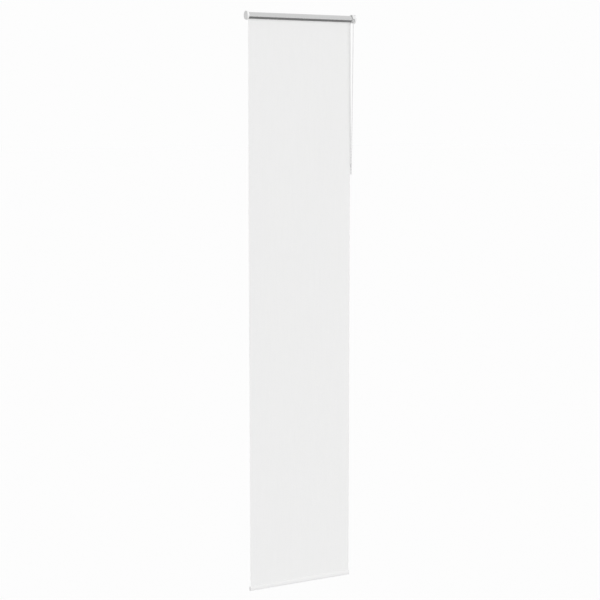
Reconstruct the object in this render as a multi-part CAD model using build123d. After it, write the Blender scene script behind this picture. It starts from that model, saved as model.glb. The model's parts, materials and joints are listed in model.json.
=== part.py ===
from build123d import *
import os
from math import asin, cos, pi, sin, sqrt

# A blackout roller blind, fully lowered. Lengths are in mm and +Z is up.
# The wall is the plane y = 0 and the room is on the -Y side.
# The origin is in the middle of the four wall screws, level with the roller's axis.

# Overall
overall_width = 486.0  # across both end covers
drop = 2300.0  # from the top of the covers to the bottom of the hem
axis_to_wall = 25.0

# Fits
overrun = 1.0  # how far every cut runs past its piece
running_clearance = 0.08  # radial, where one piece turns or slides on another
fit_clearance = 0.1  # where one piece is pushed into another
free_clearance = 0.3  # between pieces that must not touch

# Wall brackets, pressed from steel sheet
plate_thickness = 1.5
plate_margin = 0.5  # how far the side plate stays inside the cover's rim
arm_height = 26.0
flange_width = 24.0
bend_radius = 1.0
flange_corner = 3.0
screw_hole_radius = 2.25
screw_spacing = 16.0  # between the two holes of one bracket

# End covers
cover_radius = 17.0
cover_depth = 7.0
cover_wall = 1.5
cover_edge = 2.0  # rounding of the outer edge
peg_radius = 1.4
peg_circle = 12.2  # pegs stand this far from the axis
peg_angles = [90.0, 210.0, 330.0]

# Roller tube with its fabric groove
tube_radius = 12.7
tube_wall = 1.0
tube_overhang = 0.5  # how far the tube runs past each edge of the fabric
groove_radius = 1.5
groove_wall = 0.6
groove_lip = 0.9  # metal left between the groove and the outside
slit_width = 1.2

# Ribbed inserts in the ends of the tube
insert_wall = 1.4  # of the sleeve that the ribs stand on
insert_ribs = 9
insert_rib_width = 2.0

# Idle end
end_gap = 0.6  # between the left bracket and the turning plug
end_flange_thickness = 1.4
end_flange_lip = 0.8  # how far the plug's flange stands out past the tube
pin_radius = 4.0
pin_tip_share = 0.97  # of the largest square that the pin's round shaft can hold
pin_reach = 2.5  # how far the tip comes out behind the bracket
pin_tail = 17.0  # from the collar to the pin's rear end
bush_length = 12.0
bush_wall = 2.9
collar_thickness = 2.0
collar_gap = 1.0  # between the collar and the plug's bore
idle_spring_wire = 1.0
idle_spring_length = 22.0
idle_spring_turns = 8
cap_thickness = 3.0

# Chain clutch
core_flange_thickness = 1.4
core_flange_radius = 12.5
core_boss = 8.0  # across the flats of the square that the right bracket holds
core_boss_reach = 1.5
shaft_radius = 5.0
hub_length = 5.0
hub_wall = 2.0
drum_flange_thickness = 1.0
drum_end_wall = 3.0
wrap_wire = 1.2
wrap_pitch = 1.4
wrap_turns = 6
washer_radius = 7.0
washer_thickness = 1.2
screw_radius = 1.4
screw_length = 14.0
screw_head_radius = 3.2
screw_head_height = 2.4
screw_slot_width = 0.8
screw_slot_depth = 1.0

# Bead chain and its wheel
bead_radius = 2.25
bead_pitch = 6.0
bead_sides = 6
bead_ring_shares = [(-0.96, 0.28), (-0.42, 0.94), (0.42, 0.94), (0.96, 0.28)]  # of the bead's radius
chain_beads = 213
chain_turn_radius = 3.0  # of the hanging loop's lower bend
wheel_pockets = 14
wheel_rim = 0.45
cord_groove_gap = 0.5
guard_wall = 1.0
joiner_bead = 100  # the joiner holds this bead and the next, counted from the top of the wheel
joiner_wall = 0.6
joiner_edge = 0.4

# Fabric and hem
fabric_thickness = 0.35
seam_height = 6.0  # welded double strip above the hem pocket
hem_bar_height = 18.0
hem_bar_thickness = 7.0
hem_bar_wall = 1.0
hem_cap_thickness = 2.5
hem_cap_edge = 0.8
hem_plug_length = 12.0

# Places that follow from the sizes above
axis_y = -axis_to_wall
half_width = overall_width / 2
plate_outer = half_width - cover_depth
plate_inner = plate_outer - plate_thickness
hole_x = plate_inner - flange_width / 2
plate_radius = cover_radius - plate_margin

plug_face = -plate_inner + end_gap
tube_left = plug_face + end_flange_thickness
core_face = plate_inner - core_flange_thickness
wheel_outer = core_face - free_clearance
wheel_width = 2 * (bead_radius + free_clearance + wheel_rim)
wheel_inner = wheel_outer - wheel_width
tube_right = wheel_inner - free_clearance - drum_flange_thickness
fabric_left = tube_left + tube_overhang
fabric_right = tube_right - tube_overhang

groove_z = -(tube_radius - groove_lip - groove_radius)
channel_radius = groove_radius + groove_wall
spline_radius = groove_radius - free_clearance
insert_radius = tube_radius - tube_wall - fit_clearance
end_flange_radius = tube_radius + end_flange_lip

pitch_radius = wheel_pockets * bead_pitch / (2 * pi)
chain_x = (wheel_outer + wheel_inner) / 2
guard_bore = pitch_radius + bead_radius + free_clearance
link_radius = bead_radius * bead_ring_shares[0][1]
shaft_bore = shaft_radius + running_clearance
hub_radius = shaft_bore + hub_wall
hub_end = wheel_inner - hub_length
drum_bore = hub_radius + free_clearance
wrap_length = wrap_turns * wrap_pitch + wrap_wire
wrap_start = hub_end - free_clearance - wrap_length
wrap_end = wrap_start - free_clearance - wrap_length
drum_wall_x = wrap_end - free_clearance
drum_end = drum_wall_x - drum_end_wall
shaft_end = drum_end - free_clearance

pin_bore = pin_radius + running_clearance
plug_bore = pin_bore + bush_wall + fit_clearance
bush_end = plug_face + bush_length
collar_start = bush_end + free_clearance
collar_end = collar_start + collar_thickness
idle_spring_start = collar_end + fit_clearance
cap_start = idle_spring_start + idle_spring_length + fit_clearance
plug_end = cap_start + cap_thickness
pin_tip_size = pin_tip_share * sqrt(2) * pin_radius

hem_bottom = cover_radius - drop
pocket_half_height = hem_bar_height / 2 + free_clearance + fabric_thickness
pocket_half_depth = hem_bar_thickness / 2 + free_clearance + fabric_thickness
hem_z = hem_bottom + pocket_half_height
fabric_top = groove_z - spline_radius - free_clearance


def along_x(sketch, start, end):
    # Extrudes a sketch of (y, z) points from one x to another.
    return extrude(Plane.YZ.offset(start) * sketch, amount=end - start)


def rod(radius, start, end, y=axis_y, z=0):
    return along_x(Pos(y, z) * Circle(radius), start, end)


def sleeve(outer, inner, start, end):
    return rod(outer, start, end) - rod(inner, start - overrun, end + overrun)


def square_bar(size, start, end):
    return along_x(Pos(axis_y, 0) * Rectangle(size, size), start, end)


def coil(mean_radius, wire, length, turns, start):
    # A spring of square wire, wound along X.
    height = length - wire
    path = Helix(height / turns, height, mean_radius)
    section = Plane(origin=path @ 0, z_dir=path % 0) * Rectangle(wire, wire)
    wound = sweep(section, path=path, is_frenet=True)
    return Pos(start + wire / 2, axis_y, 0) * Rot(0, 90, 0) * wound


def make_bracket(hole_size):
    # The right-hand bracket: a side plate with a round end, bent into a flange on the wall.
    corner = (plate_outer, 0)
    inner_corner = (plate_inner, -plate_thickness)
    flange_end = plate_inner - flange_width
    outline = [
        (plate_outer, axis_y),
        corner,
        (flange_end, 0),
        (flange_end, -plate_thickness),
        inner_corner,
        (plate_inner, axis_y),
    ]
    profile = make_face(Polyline(*outline, close=True))
    outside = profile.vertices().sort_by_distance(corner)[0]
    profile = fillet(outside, bend_radius + plate_thickness)
    inside = profile.vertices().sort_by_distance(inner_corner)[0]
    profile = fillet(inside, bend_radius)
    sheet = extrude(Pos(0, 0, -arm_height / 2) * profile, amount=arm_height)
    sheet = fillet(sheet.edges().filter_by(Axis.Y).sort_by(Axis.X)[:2], flange_corner)
    bracket = sheet + rod(plate_radius, plate_inner, plate_outer)
    bracket -= square_bar(hole_size + 2 * fit_clearance, plate_inner - overrun, plate_outer + overrun)
    for place in peg_places():
        bracket -= rod(peg_radius + fit_clearance, plate_inner - overrun, plate_outer + overrun, *place)
    for side in (-1, 1):
        hole = Cylinder(screw_hole_radius, 2 * (plate_thickness + overrun))
        bracket -= Pos(hole_x, 0, side * screw_spacing / 2) * Rot(90, 0, 0) * hole
    return bracket


def peg_places():
    return [(axis_y + peg_circle * cos(a * pi / 180), peg_circle * sin(a * pi / 180)) for a in peg_angles]


def make_cover():
    # The right-hand cover: a shallow cup that pegs onto the outside of the bracket.
    cup = rod(cover_radius, plate_outer, half_width)
    cup = fillet(cup.edges().sort_by(Axis.X)[-1], cover_edge)
    cup -= rod(cover_radius - cover_wall, plate_outer - overrun, half_width - cover_wall)
    for place in peg_places():
        cup += rod(peg_radius, plate_outer - plate_thickness, half_width - cover_wall, *place)
    return cup


def make_tube():
    # The groove is a channel that stands into the bore, open through a slit along the lowest line.
    centre = Pos(axis_y, 0)
    groove = Pos(axis_y, groove_z)
    section = centre * Circle(tube_radius) - centre * Circle(tube_radius - tube_wall)
    section += groove * Circle(channel_radius) & centre * Circle(tube_radius)
    section -= groove * Circle(groove_radius)
    slit_height = tube_radius + overrun + groove_z
    section -= Pos(axis_y, groove_z - slit_height / 2) * Rectangle(slit_width, slit_height)
    return along_x(section, tube_left, tube_right)


def insert(bore, start, end):
    # A sleeve with ribs that reach the tube's wall, notched to pass the groove's channel.
    section = Circle(bore + insert_wall)
    for place in PolarLocations(insert_radius / 2, insert_ribs, start_angle=90):
        section += place * Rectangle(insert_radius, insert_rib_width)
    section = Pos(axis_y, 0) * (section & Circle(insert_radius))
    section -= Pos(axis_y, groove_z) * Circle(channel_radius + fit_clearance)
    return along_x(section, start, end)


def make_idle_plug():
    plug = rod(end_flange_radius, plug_face, tube_left) + insert(plug_bore, tube_left, plug_end)
    return plug - rod(plug_bore, plug_face - overrun, plug_end + overrun)


def make_idle_pin():
    tip_start = -plate_outer - pin_reach
    pin = square_bar(pin_tip_size, tip_start, plug_face)
    pin += rod(pin_radius, plug_face, collar_end + pin_tail)
    return pin + rod(plug_bore - collar_gap, collar_start, collar_end)


def make_idle_spring():
    mean_radius = pin_radius + free_clearance + idle_spring_wire / 2
    return coil(mean_radius, idle_spring_wire, idle_spring_length, idle_spring_turns, idle_spring_start)


def make_clutch_core():
    core = rod(core_flange_radius, core_face, plate_inner)
    core += square_bar(core_boss, plate_inner, plate_outer + core_boss_reach)
    core += rod(shaft_radius, shaft_end, core_face)
    return core - rod(screw_radius + fit_clearance, shaft_end - overrun, shaft_end + screw_length + overrun)


def make_chain_wheel():
    # A pulley with round pockets for the beads and a groove for the cord between them.
    wheel = rod(pitch_radius, wheel_inner, wheel_outer) + rod(hub_radius, hub_end, wheel_inner)
    groove = Rot(0, 90, 0) * Torus(pitch_radius, link_radius + cord_groove_gap)
    wheel -= Pos(chain_x, axis_y, 0) * groove
    for index in range(wheel_pockets):
        angle = 2 * pi * index / wheel_pockets
        place = (chain_x, axis_y + pitch_radius * sin(angle), pitch_radius * cos(angle))
        wheel -= Pos(*place) * Sphere(bead_radius + free_clearance)
    return wheel - rod(shaft_bore, hub_end - overrun, wheel_outer + overrun)


def make_drum():
    # Its flange is as wide as the hood's bore and hides the chain wheel from the fabric's side.
    drum = rod(guard_bore, tube_right, tube_right + drum_flange_thickness)
    drum += insert(drum_bore, drum_end, tube_right)
    drum -= rod(drum_bore, drum_wall_x, wheel_inner + overrun)
    return drum - rod(shaft_bore, drum_end - overrun, drum_wall_x + overrun)


def make_core_screw():
    washer_face = shaft_end - washer_thickness
    head_end = washer_face - screw_head_height
    screw = rod(screw_head_radius, head_end, washer_face)
    screw = fillet(screw.edges().sort_by(Axis.X)[0], screw_head_height / 2)
    slot = Rectangle(screw_slot_width, 2 * screw_head_radius)
    screw -= along_x(Pos(axis_y, 0) * slot, head_end - overrun, head_end + screw_slot_depth)
    return screw + rod(screw_radius, washer_face, shaft_end + screw_length)


def make_guard():
    # A half-round hood over the wheel, with a web that lies against the bracket round the core's flange.
    outer = guard_bore + guard_wall
    guard = sleeve(outer, guard_bore, wheel_inner, plate_inner)
    guard += sleeve(outer, core_flange_radius + free_clearance, core_face, plate_inner)
    upper = Pos(axis_y, outer / 2) * Rectangle(2 * (outer + overrun), outer)
    upper_half = along_x(upper, wheel_inner - overrun, plate_inner + overrun)
    return guard & upper_half


# The chain's loop: over the wheel, straight down behind, round the lower bend and straight up in front.
loop_length = chain_beads * bead_pitch
radius_step = pitch_radius - chain_turn_radius
straight_part = loop_length - pi * (pitch_radius + chain_turn_radius)
loop_drop = (straight_part + sqrt(straight_part**2 - 8 * radius_step**2)) / 4
run_lean = asin(radius_step / loop_drop)
run_length = sqrt(loop_drop**2 - radius_step**2)
top_quarter = pitch_radius * (pi / 2 + run_lean)
lower_bend = chain_turn_radius * (pi - 2 * run_lean)
bead_step = (2 * (top_quarter + run_length) + lower_bend) / chain_beads


def on_arc(z, radius, angle):
    return axis_y + radius * cos(angle), z + radius * sin(angle), sin(angle), -cos(angle)


def loop_place(distance):
    # The (y, z) place and direction at a distance along the loop from the top of the wheel.
    if distance <= top_quarter:
        return on_arc(0, pitch_radius, pi / 2 - distance / pitch_radius)
    distance -= top_quarter
    if distance <= run_length:
        y, z, dy, dz = on_arc(0, pitch_radius, -run_lean)
        return y + distance * dy, z + distance * dz, dy, dz
    distance -= run_length
    if distance <= lower_bend:
        return on_arc(-loop_drop, chain_turn_radius, -run_lean - distance / chain_turn_radius)
    distance -= lower_bend
    if distance <= run_length:
        y, z, dy, dz = on_arc(-loop_drop, chain_turn_radius, pi + run_lean)
        return y + distance * dy, z + distance * dz, dy, dz
    return on_arc(0, pitch_radius, pi + run_lean - (distance - run_length) / pitch_radius)


def chain_ring(place, offset, radius):
    # The corners of a small polygon across the chain, moved along it by offset.
    y, z, dy, dz = place
    corners = []
    for side in range(bead_sides):
        angle = 2 * pi * side / bead_sides
        across = radius * cos(angle)
        out = radius * sin(angle)
        corners.append((chain_x + across, y + offset * dy - out * dz, z + offset * dz + out * dy))
    return corners


def band(first, second, straight):
    # The faces between two rings: flat quads where they are parallel, triangles across a bend.
    faces = []
    for side in range(bead_sides):
        after = (side + 1) % bead_sides
        quad = [first[side], first[after], second[after], second[side]]
        cuts = [quad] if straight else [quad[:3], [quad[0], quad[2], quad[3]]]
        faces += [Face(Wire.make_polygon(points, close=True)) for points in cuts]
    return faces


def make_chain():
    # Round beads moulded on a cord, as one closed loop of flat facets.
    places = [loop_place(index * bead_step) for index in range(chain_beads)]
    beads = []
    for place in places:
        beads.append([chain_ring(place, a * bead_radius, r * bead_radius) for a, r in bead_ring_shares])
    faces = []
    for index, bead in enumerate(beads):
        after = (index + 1) % chain_beads
        for first, second in zip(bead, bead[1:]):
            faces += band(first, second, True)
        faces += band(bead[-1], beads[after][0], places[index][2:] == places[after][2:])
    return Solid(Shell(faces))


def make_joiner():
    # A barrel that closes over the chain's two end beads.
    first = loop_place(joiner_bead * bead_step)
    last = loop_place((joiner_bead + 1) * bead_step)
    middle = (chain_x, (first[0] + last[0]) / 2, (first[1] + last[1]) / 2)
    room = bead_radius + free_clearance
    half_room = bead_step / 2 + room
    barrel = Cylinder(room + joiner_wall, 2 * (half_room + joiner_wall))
    barrel = fillet(barrel.edges().filter_by(GeomType.CIRCLE), joiner_edge)
    barrel -= Cylinder(room, 2 * half_room)
    barrel -= Cylinder(link_radius + cord_groove_gap, 2 * (half_room + joiner_wall + overrun))
    return Plane(origin=middle, z_dir=(0, first[2], first[3])) * barrel


def oval(half_depth, half_height):
    return Pos(axis_y, hem_z) * Ellipse(half_depth, half_height)


def make_fabric():
    # One sheet that hangs from the groove, folded round the hem bar and welded to its own back.
    pocket_top = hem_z + pocket_half_height - fabric_thickness / 2
    sheet_height = fabric_top - pocket_top
    seam = Rectangle(fabric_thickness, seam_height)
    section = Pos(axis_y, pocket_top + sheet_height / 2) * Rectangle(fabric_thickness, sheet_height)
    section += Pos(axis_y + fabric_thickness, pocket_top + seam_height / 2) * seam
    section += oval(pocket_half_depth, pocket_half_height)
    section -= oval(pocket_half_depth - fabric_thickness, pocket_half_height - fabric_thickness)
    return along_x(section, fabric_left, fabric_right)


def make_hem_bar():
    half_depth = hem_bar_thickness / 2
    half_height = hem_bar_height / 2
    section = oval(half_depth, half_height) - oval(half_depth - hem_bar_wall, half_height - hem_bar_wall)
    return along_x(section, fabric_left, fabric_right)


def make_hem_cap():
    # The right-hand cap: a plate over the end of the pocket and a plug in the hollow bar.
    cap_end = fabric_right + hem_cap_thickness
    cap = along_x(oval(pocket_half_depth, pocket_half_height), fabric_right, cap_end)
    cap = fillet(cap.edges().sort_by(Axis.X)[-1], hem_cap_edge)
    inset = hem_bar_wall + fit_clearance
    plug = oval(hem_bar_thickness / 2 - inset, hem_bar_height / 2 - inset)
    return cap + along_x(plug, fabric_right - hem_plug_length, fabric_right)


right_cap = make_hem_cap()
fabric_middle = (fabric_left + fabric_right) / 2
wrap_mean = shaft_radius + free_clearance + wrap_wire / 2
washer_bore = screw_radius + fit_clearance

pieces = {
    "left_bracket": mirror(make_bracket(pin_tip_size), about=Plane.YZ),
    "right_bracket": make_bracket(core_boss),
    "left_cover": mirror(make_cover(), about=Plane.YZ),
    "right_cover": make_cover(),
    "roller_tube": make_tube(),
    "fabric_spline": rod(spline_radius, fabric_left, fabric_right, axis_y, groove_z),
    "idle_plug": make_idle_plug(),
    "pin_bush": sleeve(plug_bore - fit_clearance, pin_bore, plug_face, bush_end),
    "idle_pin": make_idle_pin(),
    "idle_spring": make_idle_spring(),
    "plug_cap": sleeve(plug_bore - fit_clearance, pin_radius + free_clearance, cap_start, plug_end),
    "clutch_core": make_clutch_core(),
    "chain_wheel": make_chain_wheel(),
    "wrap_spring_outer": coil(wrap_mean, wrap_wire, wrap_length, wrap_turns, wrap_start),
    "wrap_spring_inner": coil(wrap_mean, wrap_wire, wrap_length, wrap_turns, wrap_end),
    "clutch_drum": make_drum(),
    "core_washer": sleeve(washer_radius, washer_bore, shaft_end - washer_thickness, shaft_end),
    "core_screw": make_core_screw(),
    "chain_guard": make_guard(),
    "bead_chain": make_chain(),
    "chain_joiner": make_joiner(),
    "blackout_fabric": make_fabric(),
    "hem_bar": make_hem_bar(),
    "hem_cap_left": mirror(right_cap, about=Plane.YZ.offset(fabric_middle)),
    "hem_cap_right": right_cap,
}

os.makedirs("parts", exist_ok=True)
for node, shape in pieces.items():
    export_step(shape, os.path.join("parts", f"{node}.step"))
print("fabric", fabric_right - fabric_left, "wide,", fabric_top - hem_bottom, "long")
print("chain", chain_beads * bead_step, "long, lowest point of its cord", -loop_drop - chain_turn_radius)
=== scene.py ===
import json
import math

import bmesh
import bpy
from mathutils import Matrix, Vector


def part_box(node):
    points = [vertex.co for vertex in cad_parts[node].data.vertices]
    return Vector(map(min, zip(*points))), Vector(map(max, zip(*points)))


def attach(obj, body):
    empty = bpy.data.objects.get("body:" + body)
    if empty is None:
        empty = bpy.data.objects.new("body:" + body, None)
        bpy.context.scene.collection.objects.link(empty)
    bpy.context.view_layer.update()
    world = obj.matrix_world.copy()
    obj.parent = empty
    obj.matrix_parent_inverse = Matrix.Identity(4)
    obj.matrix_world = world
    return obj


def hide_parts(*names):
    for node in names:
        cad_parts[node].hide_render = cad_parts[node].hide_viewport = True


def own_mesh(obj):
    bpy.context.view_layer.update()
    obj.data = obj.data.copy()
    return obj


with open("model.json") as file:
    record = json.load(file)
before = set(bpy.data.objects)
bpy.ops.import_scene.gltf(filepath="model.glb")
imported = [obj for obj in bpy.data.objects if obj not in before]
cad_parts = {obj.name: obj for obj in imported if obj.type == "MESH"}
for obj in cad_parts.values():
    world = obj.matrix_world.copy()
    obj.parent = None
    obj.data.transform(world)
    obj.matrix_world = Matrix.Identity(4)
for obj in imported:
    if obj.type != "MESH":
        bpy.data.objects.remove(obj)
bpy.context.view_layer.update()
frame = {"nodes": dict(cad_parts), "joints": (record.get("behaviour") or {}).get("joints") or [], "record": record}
nodes = frame["nodes"]
scene = bpy.context.scene
jointOf = {joint["name"]: joint for joint in frame["joints"]}
mm = 0.001
axisY = jointOf["roller_spin"]["pos_m"][1]  # the roller's axis runs along X at this y and z = 0
axisPoint = Vector((0, axisY, 0))
print("frame loaded,", len(nodes), "nodes")


# camera at the photograph's angle

viewFrom = {
    "place": (-2.7672, -5.116, -0.4084), "azimuth": 28.483, "down": 6.957, "lens": 87.37, "sensor": 36,
}

cameraData = bpy.data.cameras.new("camera")
cameraData.lens = viewFrom["lens"]
cameraData.sensor_width = viewFrom["sensor"]
camera = bpy.data.objects.new("camera", cameraData)
camera.location = viewFrom["place"]
camera.rotation_euler = (math.radians(90 - viewFrom["down"]), 0, math.radians(-viewFrom["azimuth"]))
scene.collection.objects.link(camera)
scene.camera = camera
scene.view_settings.view_transform = "Standard"
print("camera set")


# node helpers

def newFinish(name):
    finish = bpy.data.materials.new(name)
    finish.use_nodes = True
    tree = finish.node_tree
    return finish, tree, tree.nodes["Principled BSDF"]


def addNode(tree, kind, values=None, **settings):
    node = tree.nodes.new(kind)
    for key, value in settings.items():
        setattr(node, key, value)
    for socket, value in (values or {}).items():
        node.inputs[socket].default_value = value
    return node


def objectPlace(tree, scale=(1, 1, 1)):
    # unequal scales draw a grain out one way
    coords = addNode(tree, "ShaderNodeTexCoord")
    mapping = addNode(tree, "ShaderNodeMapping", {"Scale": scale})
    tree.links.new(coords.outputs["Object"], mapping.inputs["Vector"])
    return mapping.outputs["Vector"]


def noiseFrom(tree, place, scale=1.0, detail=2.0):
    noise = addNode(tree, "ShaderNodeTexNoise", {"Scale": scale, "Detail": detail})
    tree.links.new(place, noise.inputs["Vector"])
    return noise.outputs["Fac"]


def spreadTo(tree, value, low, high, socket):
    span = addNode(tree, "ShaderNodeMapRange", {"To Min": low, "To Max": high})
    tree.links.new(value, span.inputs["Value"])
    tree.links.new(span.outputs["Result"], socket)


def tintBetween(tree, value, dark, light, shader, stops=(0.3, 0.7)):
    ramp = addNode(tree, "ShaderNodeValToRGB")
    for element, place, colour in zip(ramp.color_ramp.elements, stops, (dark, light)):
        element.position = place
        element.color = (*colour, 1)
    tree.links.new(value, ramp.inputs["Fac"])
    tree.links.new(ramp.outputs["Color"], shader.inputs["Base Color"])


def bumpFrom(tree, height, strength, distance, shader):
    bump = addNode(tree, "ShaderNodeBump", {"Strength": strength, "Distance": distance})
    tree.links.new(height, bump.inputs["Height"])
    tree.links.new(bump.outputs["Normal"], shader.inputs["Normal"])


# finishes

clothLook = {
    "dark": (0.838, 0.838, 0.836), "light": (0.88, 0.88, 0.878),
    "roughness": 0.9, "specular": 0.2, "sheen": 0.06, "bump": 0.8, "depth": 0.1 * mm,
    "threadPitch": 0.8 * mm, "waver": 0.4, "waverDetail": 1.0, "weaveShade": 0.18,
    "slubs": (0.4, 0.6), "slubGrain": (180, 180, 12),
}


def clothFinish():
    # opaque coated cloth in a close plain weave
    finish, tree, shader = newFinish("blackoutCloth")
    shader.inputs["Roughness"].default_value = clothLook["roughness"]
    shader.inputs["Sheen Weight"].default_value = clothLook["sheen"]
    shader.inputs["Specular IOR Level"].default_value = clothLook["specular"]
    place = objectPlace(tree)
    bandScale = math.pi / 20 / clothLook["threadPitch"]  # a wave of this scale repeats every two threads
    bands = {"Scale": bandScale, "Distortion": clothLook["waver"], "Detail": clothLook["waverDetail"]}
    weave = addNode(tree, "ShaderNodeMath", operation="MULTIPLY")  # threads cross over and under by turns
    for socket, direction in zip(weave.inputs, ("X", "Z")):
        threads = addNode(tree, "ShaderNodeTexWave", bands, wave_type="BANDS", bands_direction=direction)
        tree.links.new(place, threads.inputs["Vector"])
        spreadTo(tree, threads.outputs["Fac"], -1, 1, socket)
    bumpFrom(tree, weave.outputs["Value"], clothLook["bump"], clothLook["depth"], shader)
    slubs = noiseFrom(tree, objectPlace(tree, clothLook["slubGrain"]))  # faint upright streaks in the yarn
    shade = addNode(tree, "ShaderNodeMath", {1: clothLook["weaveShade"]}, operation="MULTIPLY_ADD")
    tree.links.new(weave.outputs["Value"], shade.inputs[0])
    spreadTo(tree, slubs, *clothLook["slubs"], shade.inputs[2])
    tintBetween(tree, shade.outputs["Value"], clothLook["dark"], clothLook["light"], shader)
    return finish


tubeLook = {
    "dark": (0.603, 0.604, 0.605), "light": (0.663, 0.664, 0.665), "roughness": (0.16, 0.27),
    "grain": (2, 900, 900), "grainDetail": 4.0, "bump": 0.08, "depth": 0.02 * mm,
}


def aluminiumFinish():
    # satin extruded aluminium with die lines along the tube
    finish, tree, shader = newFinish("satinAluminium")
    shader.inputs["Metallic"].default_value = 1.0
    lines = noiseFrom(tree, objectPlace(tree, tubeLook["grain"]), detail=tubeLook["grainDetail"])
    tintBetween(tree, lines, tubeLook["dark"], tubeLook["light"], shader)
    spreadTo(tree, lines, *tubeLook["roughness"], shader.inputs["Roughness"])
    bumpFrom(tree, lines, tubeLook["bump"], tubeLook["depth"], shader)
    return finish


plasticLook = {"cloudScale": 35.0, "skinScale": 1400.0, "bump": 0.05, "depth": 0.03 * mm}


def plasticFinish(name, dark, light, roughness):
    # moulded plastic or powder coat with a faint orange-peel skin
    finish, tree, shader = newFinish(name)
    place = objectPlace(tree)
    cloud = noiseFrom(tree, place, plasticLook["cloudScale"])
    tintBetween(tree, cloud, (dark,) * 3, (light,) * 3, shader)
    spreadTo(tree, cloud, *roughness, shader.inputs["Roughness"])
    skin = noiseFrom(tree, place, plasticLook["skinScale"])
    bumpFrom(tree, skin, plasticLook["bump"], plasticLook["depth"], shader)
    return finish


steelLook = {"grainDetail": 3.0, "bump": 0.06, "depth": 0.02 * mm}


def steelFinish(name, dark, light, grain, roughness):
    # drawn or plated steel
    finish, tree, shader = newFinish(name)
    shader.inputs["Metallic"].default_value = 1.0
    marks = noiseFrom(tree, objectPlace(tree, grain), detail=steelLook["grainDetail"])
    tintBetween(tree, marks, (dark,) * 3, (light,) * 3, shader)
    spreadTo(tree, marks, *roughness, shader.inputs["Roughness"])
    bumpFrom(tree, marks, steelLook["bump"], steelLook["depth"], shader)
    return finish


finishOfSlot = {
    "blackout_cloth": clothFinish(),
    "tube_aluminium": aluminiumFinish(),
    "white_steel": plasticFinish("whitePowderCoat", 0.83, 0.86, (0.4, 0.5)),
    "white_plastic": plasticFinish("whitePlastic", 0.855, 0.885, (0.3, 0.42)),
    "chain_plastic": plasticFinish("chainPlastic", 0.815, 0.85, (0.25, 0.38)),
    "clutch_plastic": plasticFinish("clutchPlastic", 0.785, 0.825, (0.42, 0.55)),
    "spline_plastic": plasticFinish("splinePlastic", 0.66, 0.71, (0.4, 0.5)),
    "spring_steel": steelFinish("springSteel", 0.42, 0.56, (300, 300, 300), (0.22, 0.38)),
    "zinc_steel": steelFinish("zincPlate", 0.55, 0.66, (120, 120, 120), (0.28, 0.44)),
}
for subpart in frame["record"]["subparts"]:
    nodeMesh = nodes[subpart["node"]].data
    nodeMesh.materials.clear()
    nodeMesh.materials.append(finishOfSlot[subpart["material_slot"]])
print("finishes made:", len(finishOfSlot))


# mesh helpers

def makePiece(bm, name, body, slotName, replaced=(), sharpAngle=35):
    bmesh.ops.recalc_face_normals(bm, faces=bm.faces)
    for face in bm.faces:
        face.smooth = True
    for edge in bm.edges:
        edge.smooth = edge.calc_face_angle(math.pi) < math.radians(sharpAngle)
    mesh = bpy.data.meshes.new(name)
    bm.to_mesh(mesh)
    bm.free()
    mesh.materials.append(finishOfSlot[slotName])
    piece = bpy.data.objects.new(name, mesh)
    scene.collection.objects.link(piece)
    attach(piece, body)
    if replaced:
        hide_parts(*replaced)
    return piece


def joinLine(bm, points, closed=False):
    # a chain of edges through a few points
    line = [bm.verts.new(point) for point in points]
    ends = line[1:] + line[:1] if closed else line[1:]
    return line, [bm.edges.new(pair) for pair in zip(line, ends)]


def roundCorner(bm, corner, radius, segments):
    bmesh.ops.bevel(bm, geom=[corner], offset=radius, offset_type="OFFSET", segments=segments, profile=0.5,
                    affect="VERTICES", material=-1)


def spinRound(bm, geom, angle, steps, centre=axisPoint, weldGap=0.001 * mm):
    full = angle >= 2 * math.pi
    bmesh.ops.spin(bm, geom=geom, cent=centre, axis=(1, 0, 0), angle=angle, steps=steps, use_merge=full)
    bmesh.ops.remove_doubles(bm, verts=bm.verts, dist=weldGap)


def drawAlongX(bm, faces, length):
    made = bmesh.ops.extrude_face_region(bm, geom=faces)["geom"]
    moved = [item for item in made if isinstance(item, bmesh.types.BMVert)]
    bmesh.ops.translate(bm, vec=(length, 0, 0), verts=moved)


def ovalFace(bm, x, middle, halfDepth, halfHeight, steps=48):
    # a filled oval across X
    place = Matrix.Translation((x, *middle)) @ Matrix.Rotation(math.pi / 2, 4, "Y")
    shape = place @ Matrix.Diagonal((halfHeight, halfDepth, 1, 1))
    ring = bmesh.ops.create_circle(bm, cap_ends=True, segments=steps, radius=1, matrix=shape)["verts"]
    return ring[0].link_faces[0], ring


# bead chain on its cord

chainSizes = {
    "beadRadius": 2.25 * mm, "cordRadius": 0.63 * mm, "beads": 213, "pockets": 14, "onWheel": 3,
    "wheelRadius": 13.369 * mm, "wheelSteps": 32, "beadSides": 10, "beadRings": 6,
    "cordSides": 8, "cordRounding": 2, "routeSteps": 12,
}
chainRoute = [  # (y from the axis, z) in mm: back of the wheel, down, round the low bend, up to the front
    (13.37, 0), (12.914, -27), (3.02, -611.96), (3.0, -614.443), (1.243, -616.2),
    (-1.243, -616.2), (-3.0, -614.443), (-3.02, -611.96), (-12.914, -27), (-13.37, 0),
]
chainLow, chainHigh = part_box("bead_chain")
chainX = (chainLow.x + chainHigh.x) / 2


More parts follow.
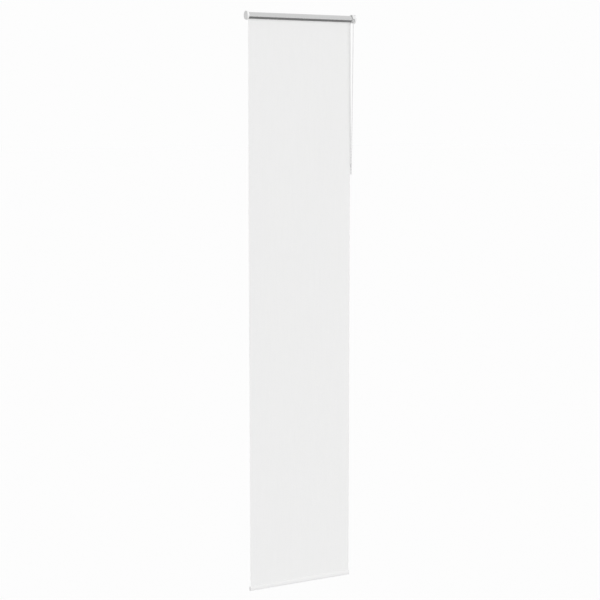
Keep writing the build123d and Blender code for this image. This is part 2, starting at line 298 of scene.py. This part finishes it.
def buildCord():
    curve = bpy.data.curves.new("chainCord", "CURVE")
    curve.dimensions = "3D"
    curve.resolution_u = chainSizes["routeSteps"]
    spline = curve.splines.new("NURBS")
    spline.points.add(len(chainRoute) - 1)
    for point, (y, z) in zip(spline.points, chainRoute):
        point.co = (chainX, axisY + y * mm, z * mm, 1)
    spline.order_u = 3
    spline.use_endpoint_u = True
    cord = bpy.data.objects.new("chainCord", curve)
    scene.collection.objects.link(cord)
    bare = bpy.data.meshes.new_from_object(cord)  # the line itself, before it gets its thickness
    line = [vert.co.copy() for vert in bare.vertices]
    bpy.data.meshes.remove(bare)
    curve.bevel_depth = chainSizes["cordRadius"]
    curve.bevel_resolution = chainSizes["cordRounding"]
    curve.use_fill_caps = True
    curve.materials.append(finishOfSlot["chain_plastic"])
    return cord, line


def pointAlong(line, distance):
    for start, end in zip(line, line[1:]):
        step = (end - start).length
        if distance <= step:
            break
        distance -= step
    heading = (end - start).normalized()
    return start + heading * distance, heading


def addBead(bm, place, heading):
    turn = Vector((0, 0, 1)).rotation_difference(heading).to_matrix().to_4x4()
    bmesh.ops.create_uvsphere(bm, u_segments=chainSizes["beadSides"], v_segments=chainSizes["beadRings"],
                              radius=chainSizes["beadRadius"], matrix=Matrix.Translation(place) @ turn)


def buildBeads(line):
    bm = bmesh.new()
    pocketAngle = 2 * math.pi / chainSizes["pockets"]
    for pocket in range(-chainSizes["onWheel"], chainSizes["onWheel"] + 1):  # beads that sit on the wheel
        turn = Matrix.Rotation(pocket * pocketAngle, 4, "X")
        place = Vector((chainX, axisY, 0)) + turn @ Vector((0, 0, chainSizes["wheelRadius"]))
        addBead(bm, place, turn @ Vector((0, 1, 0)))
    free = chainSizes["beads"] - 2 * chainSizes["onWheel"] - 1
    lead = (math.pi / 2 - chainSizes["onWheel"] * pocketAngle) * chainSizes["wheelRadius"]
    length = sum((end - start).length for start, end in zip(line, line[1:]))
    step = (length + 2 * lead) / (free + 1)
    for index in range(free):
        addBead(bm, *pointAlong(line, (index + 1) * step - lead))
    print("free chain", round(length, 4), "m, bead step", round(step / mm, 3), "mm")
    return makePiece(bm, "chainBeads", "brackets", "chain_plastic", sharpAngle=80), length


def buildWheelCord():
    # the cord where it lies over the wheel
    bm = bmesh.new()
    place = Matrix.Translation((chainX, axisY + chainSizes["wheelRadius"], 0))
    bmesh.ops.create_circle(bm, cap_ends=True, segments=chainSizes["cordSides"],
                            radius=chainSizes["cordRadius"], matrix=place)
    spinRound(bm, bm.verts[:] + bm.edges[:] + bm.faces[:], math.pi, chainSizes["wheelSteps"])
    return makePiece(bm, "wheelCord", "brackets", "chain_plastic", sharpAngle=80)


chainCord, cordLine = buildCord()
chainBeads, freeLength = buildBeads(cordLine)
wheelCord = buildWheelCord()
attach(chainCord, "brackets")
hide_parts("bead_chain")
print("chain hung")


# roller tube

tubeSizes = {
    "radius": 12.7 * mm, "wall": 1 * mm, "slit": 1.2 * mm, "groove": 1.5 * mm, "grooveWall": 0.6 * mm,
    "grooveDepth": 10.3 * mm, "steps": 96, "grooveSteps": 28,
}
tubeLow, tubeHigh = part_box("roller_tube")


def openRing(bm, x, z, inner, outer, steps):
    # a ring across X with a gap at the bottom as wide as the slit
    halfGap = math.asin(tubeSizes["slit"] / 2 / inner)
    turn = Matrix.Rotation(halfGap, 4, "X")
    centre = Vector((x, axisY, z))
    ends, edges = joinLine(bm, [centre + turn @ Vector((0, 0, -radius)) for radius in (inner, outer)])
    spinRound(bm, ends + edges, 2 * math.pi - 2 * halfGap, steps, centre)


def buildTube():
    bm = bmesh.new()
    bore = tubeSizes["radius"] - tubeSizes["wall"]
    openRing(bm, tubeLow.x, 0, bore, tubeSizes["radius"], tubeSizes["steps"])
    channel = tubeSizes["groove"] + tubeSizes["grooveWall"]
    openRing(bm, tubeLow.x, -tubeSizes["grooveDepth"], tubeSizes["groove"], channel, tubeSizes["grooveSteps"])
    drawAlongX(bm, bm.faces[:], tubeHigh.x - tubeLow.x)
    return makePiece(bm, "rollerTube", "roller", "tube_aluminium", ["roller_tube"])


rollerTube = buildTube()
print("tube turned")


# spring behind the idle pin

springSizes = {"wire": 1 * mm, "radius": 4.8 * mm, "turns": 8, "turnSteps": 24, "wireSides": 10}
springLow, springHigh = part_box("idle_spring")
springLength = springHigh.x - springLow.x


def buildSpring():
    bm = bmesh.new()
    half = springSizes["wire"] / 2
    start = Matrix.Translation((springLow.x + half, axisY + springSizes["radius"], 0))
    bmesh.ops.create_circle(bm, cap_ends=True, segments=springSizes["wireSides"], radius=half, matrix=start)
    steps = springSizes["turns"] * springSizes["turnSteps"]
    rise = (springLength - springSizes["wire"]) / steps
    bmesh.ops.spin(bm, geom=bm.verts[:] + bm.edges[:] + bm.faces[:], cent=axisPoint, axis=(1, 0, 0),
                   dvec=(rise, 0, 0), angle=2 * math.pi * springSizes["turns"], steps=steps)
    return makePiece(bm, "idleSpring", "brackets", "spring_steel", ["idle_spring"], sharpAngle=60)


idleSpring = buildSpring()
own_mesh(idleSpring)
print("spring wound")


# end covers

coverSizes = {
    "radius": 17 * mm, "wall": 1.5 * mm, "steps": 96, "outerRound": 2 * mm, "outerRoundSteps": 8,
    "innerRound": 1 * mm, "rimRound": 0.3 * mm, "smallRoundSteps": 3,
    "pegRadius": 1.4 * mm, "pegReach": 1.5 * mm, "pegCircle": 12.2 * mm, "pegAngles": (90, 210, 330),
    "pegSides": 24,
}


def buildCover(name, node, side):
    bm = bmesh.new()
    low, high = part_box(node)
    face = high.x if side > 0 else low.x
    back = face - side * (high.x - low.x - coverSizes["pegReach"])
    inside = face - side * coverSizes["wall"]
    radius = coverSizes["radius"]
    bore = radius - coverSizes["wall"]
    outline = [(face, 0), (face, radius), (back, radius), (back, bore), (inside, bore), (inside, 0)]
    line, _ = joinLine(bm, [(x, axisY, r) for x, r in outline])
    roundCorner(bm, line[1], coverSizes["outerRound"], coverSizes["outerRoundSteps"])
    for corner, size in zip(line[2:5], ("rimRound", "rimRound", "innerRound")):
        roundCorner(bm, corner, coverSizes[size], coverSizes["smallRoundSteps"])
    spinRound(bm, bm.verts[:] + bm.edges[:], 2 * math.pi, coverSizes["steps"])
    pegTip = back - side * coverSizes["pegReach"]
    for angle in map(math.radians, coverSizes["pegAngles"]):
        out = coverSizes["pegCircle"]
        middle = ((pegTip + inside) / 2, axisY + out * math.cos(angle), out * math.sin(angle))
        place = Matrix.Translation(middle) @ Matrix.Rotation(math.pi / 2, 4, "Y")
        bmesh.ops.create_cone(bm, cap_ends=True, segments=coverSizes["pegSides"], depth=abs(inside - pegTip),
                              radius1=coverSizes["pegRadius"], radius2=coverSizes["pegRadius"], matrix=place)
    makePiece(bm, name, "brackets", "white_plastic", [node])


buildCover("leftCover", "left_cover", -1)
buildCover("rightCover", "right_cover", 1)
print("covers turned")


# hood over the chain wheel

guardSizes = {
    "inner": 15.919 * mm, "wall": 1 * mm, "web": 1.4 * mm, "webInner": 12.8 * mm,
    "round": 0.25 * mm, "roundSteps": 2, "steps": 48,
}
guardLow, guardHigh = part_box("chain_guard")


def buildGuard():
    bm = bmesh.new()
    inner, webInner = guardSizes["inner"], guardSizes["webInner"]
    outer = inner + guardSizes["wall"]
    webFace = guardHigh.x - guardSizes["web"]
    outline = [(guardLow.x, inner), (guardLow.x, outer), (guardHigh.x, outer),
               (guardHigh.x, webInner), (webFace, webInner), (webFace, inner)]
    line, _ = joinLine(bm, [(x, axisY - r, 0) for x, r in outline], closed=True)
    for corner in line:
        roundCorner(bm, corner, guardSizes["round"], guardSizes["roundSteps"])
    bmesh.ops.contextual_create(bm, geom=bm.edges[:])
    spinRound(bm, bm.verts[:] + bm.edges[:] + bm.faces[:], -math.pi, guardSizes["steps"])
    makePiece(bm, "chainHood", "brackets", "white_plastic", ["chain_guard"])


buildGuard()
print("hood made")


# hanging sheet, hem pocket and hem caps

sheetSizes = {
    "thickness": 0.35 * mm, "columns": 26, "rows": 150, "cupping": 1.2 * mm, "cuppedShare": 0.88,
    "cutAllowance": 52 * mm,
}
pocketSizes = {
    "halfDepth": 4.15 * mm, "halfHeight": 9.65 * mm, "steps": 64, "pinch": 0.35,
    "seam": 6 * mm, "seamGap": 0.02 * mm, "weldDepth": 0.12 * mm,
    "seamShares": (0, 0.2, 0.3, 0.4, 0.6, 0.7, 0.8, 1), "weldShares": (0.3, 0.7),
}
fabricLow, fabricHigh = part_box("blackout_fabric")
hemMiddle = (axisY, fabricLow.z + pocketSizes["halfHeight"])
pocketTop = fabricLow.z + 2 * pocketSizes["halfHeight"]
sheetWidth = fabricHigh.x - fabricLow.x
sheetLow = pocketTop + pocketSizes["seamGap"]
sheetLength = fabricHigh.z - sheetLow


def buildSheet():
    bm = bmesh.new()
    place = Matrix.Translation(((fabricLow.x + fabricHigh.x) / 2, axisY, (fabricHigh.z + sheetLow) / 2))
    spread = Matrix.Diagonal((sheetWidth / 2, sheetLength / 2, 1, 1))
    bmesh.ops.create_grid(bm, x_segments=sheetSizes["columns"], y_segments=sheetSizes["rows"], size=1,
                          matrix=place @ Matrix.Rotation(math.pi / 2, 4, "X") @ spread)
    for vert in bm.verts:  # the side edges lean back a little above the hem, as rolled cloth does
        across = (vert.co.x - place.translation.x) / (sheetWidth / 2)
        down = min(1, (fabricHigh.z - vert.co.z) / sheetLength / sheetSizes["cuppedShare"])
        vert.co.y += sheetSizes["cupping"] * across ** 4 * math.sin(math.pi * down) ** 2
    bmesh.ops.solidify(bm, geom=bm.faces[:], thickness=sheetSizes["thickness"])
    bmesh.ops.translate(bm, vec=(0, -sheetSizes["thickness"] / 2, 0), verts=bm.verts)
    return makePiece(bm, "hangingSheet", "brackets", "blackout_cloth", ["blackout_fabric"])


def buildPocket():
    bm = bmesh.new()
    face, ring = ovalFace(bm, fabricLow.x, hemMiddle, pocketSizes["halfDepth"], pocketSizes["halfHeight"],
                          pocketSizes["steps"])
    for vert in ring:  # the two layers draw together towards the seam
        rise = max(0, (vert.co.z - hemMiddle[1]) / pocketSizes["halfHeight"])
        vert.co.y = axisY + (vert.co.y - axisY) * (1 - pocketSizes["pinch"] * rise ** 4)
    drawAlongX(bm, [face], sheetWidth)
    ends = [face for face in bm.faces if abs(face.normal.x) > 0.9]  # both come off, so the pocket is open
    bmesh.ops.recalc_face_normals(bm, faces=bm.faces)
    bmesh.ops.delete(bm, geom=ends, context="FACES_ONLY")
    bmesh.ops.solidify(bm, geom=bm.faces[:], thickness=sheetSizes["thickness"])
    seamFront = axisY + sheetSizes["thickness"] / 2 + pocketSizes["seamGap"]
    seamBack = axisY + 1.5 * sheetSizes["thickness"]  # one more layer, behind the sheet
    line = [(seamFront, pocketTop)]
    for share in pocketSizes["seamShares"]:  # two weld lines pressed into the strip
        pressed = pocketSizes["weldDepth"] if share in pocketSizes["weldShares"] else 0
        line.append((seamBack - pressed, pocketTop + share * pocketSizes["seam"]))
    line.append((seamFront, pocketTop + pocketSizes["seam"]))
    _, edges = joinLine(bm, [(fabricLow.x, y, z) for y, z in line], closed=True)
    strip = bmesh.ops.contextual_create(bm, geom=edges)["faces"]
    drawAlongX(bm, strip, sheetWidth)
    return makePiece(bm, "hemPocket", "hem", "blackout_cloth")


capSizes = {
    "thickness": 2.5 * mm, "round": 0.8 * mm, "roundSteps": 4, "plug": 12 * mm, "plugInset": 1.1 * mm,
    "barHalf": (3.5 * mm, 9 * mm),
}


def buildHemCap(name, node, side):
    bm = bmesh.new()
    seat = fabricHigh.x if side > 0 else fabricLow.x
    face, _ = ovalFace(bm, seat, hemMiddle, pocketSizes["halfDepth"], pocketSizes["halfHeight"])
    drawAlongX(bm, [face], side * capSizes["thickness"])
    middle = seat + side * capSizes["thickness"] / 2
    rim = [edge for edge in bm.edges if all(side * (vert.co.x - middle) > 0 for vert in edge.verts)]
    bmesh.ops.bevel(bm, geom=rim, offset=capSizes["round"], offset_type="OFFSET", profile=0.5,
                    segments=capSizes["roundSteps"], affect="EDGES", material=-1)
    halves = [half - capSizes["plugInset"] for half in capSizes["barHalf"]]
    plug, _ = ovalFace(bm, seat, hemMiddle, *halves)
    drawAlongX(bm, [plug], -side * capSizes["plug"])
    makePiece(bm, name, "hem", "white_plastic", [node])


hangingSheet = buildSheet()
hangingSheet.visible_glossy = False  # keeps the cloth out of the underside of the tube
hemPocket = buildPocket()
buildHemCap("hemCapLeft", "hem_cap_left", -1)
buildHemCap("hemCapRight", "hem_cap_right", 1)
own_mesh(hangingSheet)
print("sheet hung")


# floor, world and lamps

studio = {
    "white": 0.982, "fill": 0.60, "floorDrop": 3.7, "floorSize": 600, "floorColour": 0.86, "floorLift": 0.288,
    "flagDrop": 0.3, "flagRadius": 6, "flagSides": 64, "flagMiddle": (1.77, 3.25), "flagTone": 0.255,
}
suns = {
    "keySun": {"energy": 1.555, "comesFrom": (0.55, -0.72, 0.36), "spread": 40},
    "backSun": {"energy": 0.7, "comesFrom": (0.3, 0.95, 0.05), "spread": 40},
}


def seenRays(tree):
    # 1 for what the camera sees straight, in a reflection or through glass
    path = addNode(tree, "ShaderNodeLightPath")
    seen = path.outputs["Is Camera Ray"]
    for ray in ("Is Glossy Ray", "Is Transmission Ray"):
        either = addNode(tree, "ShaderNodeMath", operation="MAXIMUM")
        tree.links.new(seen, either.inputs[0])
        tree.links.new(path.outputs[ray], either.inputs[1])
        seen = either.outputs["Value"]
    return seen


def setWorld():
    world = bpy.data.worlds.new("studioWorld")
    world.use_nodes = True
    scene.world = world
    tree = world.node_tree
    background = tree.nodes["Background"]
    background.inputs["Color"].default_value = (1, 1, 1, 1)
    spreadTo(tree, seenRays(tree), studio["fill"], studio["white"], background.inputs["Strength"])


def setFloor():
    bm = bmesh.new()
    bmesh.ops.create_grid(bm, x_segments=1, y_segments=1, size=studio["floorSize"] / 2,
                          matrix=Matrix.Translation((0, 0, fabricLow.z - studio["floorDrop"])))
    mesh = bpy.data.meshes.new("studioFloor")
    bm.to_mesh(mesh)
    bm.free()
    finish, tree, shader = newFinish("paleFloor")
    shader.inputs["Base Color"].default_value = (*(studio["floorColour"],) * 3, 1)
    shader.inputs["Roughness"].default_value = 1.0
    shader.inputs["Specular IOR Level"].default_value = 0.0
    shader.inputs["Emission Color"].default_value = (1, 1, 1, 1)
    spreadTo(tree, seenRays(tree), 0, studio["floorLift"], shader.inputs["Emission Strength"])
    mesh.materials.append(finish)
    floor = bpy.data.objects.new("studioFloor", mesh)
    scene.collection.objects.link(floor)


def setFlag():
    # a dark card below, seen only in reflections, gives the tube its dark lower band
    bm = bmesh.new()
    place = Matrix.Translation((*studio["flagMiddle"], fabricLow.z - studio["flagDrop"]))
    bmesh.ops.create_circle(bm, cap_ends=True, segments=studio["flagSides"], radius=studio["flagRadius"],
                            matrix=place)
    mesh = bpy.data.meshes.new("darkFlag")
    bm.to_mesh(mesh)
    bm.free()
    finish, _, shader = newFinish("darkCard")
    shader.inputs["Base Color"].default_value = (0, 0, 0, 1)
    shader.inputs["Specular IOR Level"].default_value = 0.0
    shader.inputs["Emission Color"].default_value = (1, 1, 1, 1)
    shader.inputs["Emission Strength"].default_value = studio["flagTone"]
    mesh.materials.append(finish)
    flag = bpy.data.objects.new("darkFlag", mesh)
    for ray in ("camera", "diffuse", "transmission", "volume_scatter", "shadow"):
        setattr(flag, "visible_" + ray, False)
    scene.collection.objects.link(flag)


def setSun(name):
    lamp = bpy.data.lights.new(name, "SUN")
    lamp.energy = suns[name]["energy"]
    lamp.angle = math.radians(suns[name]["spread"])
    sun = bpy.data.objects.new(name, lamp)
    sun.rotation_euler = Vector(suns[name]["comesFrom"]).to_track_quat("Z", "Y").to_euler()
    sun.visible_glossy = False
    scene.collection.objects.link(sun)


setWorld()
setFloor()
setFlag()
for sunName in suns:
    setSun(sunName)
print("studio lit")
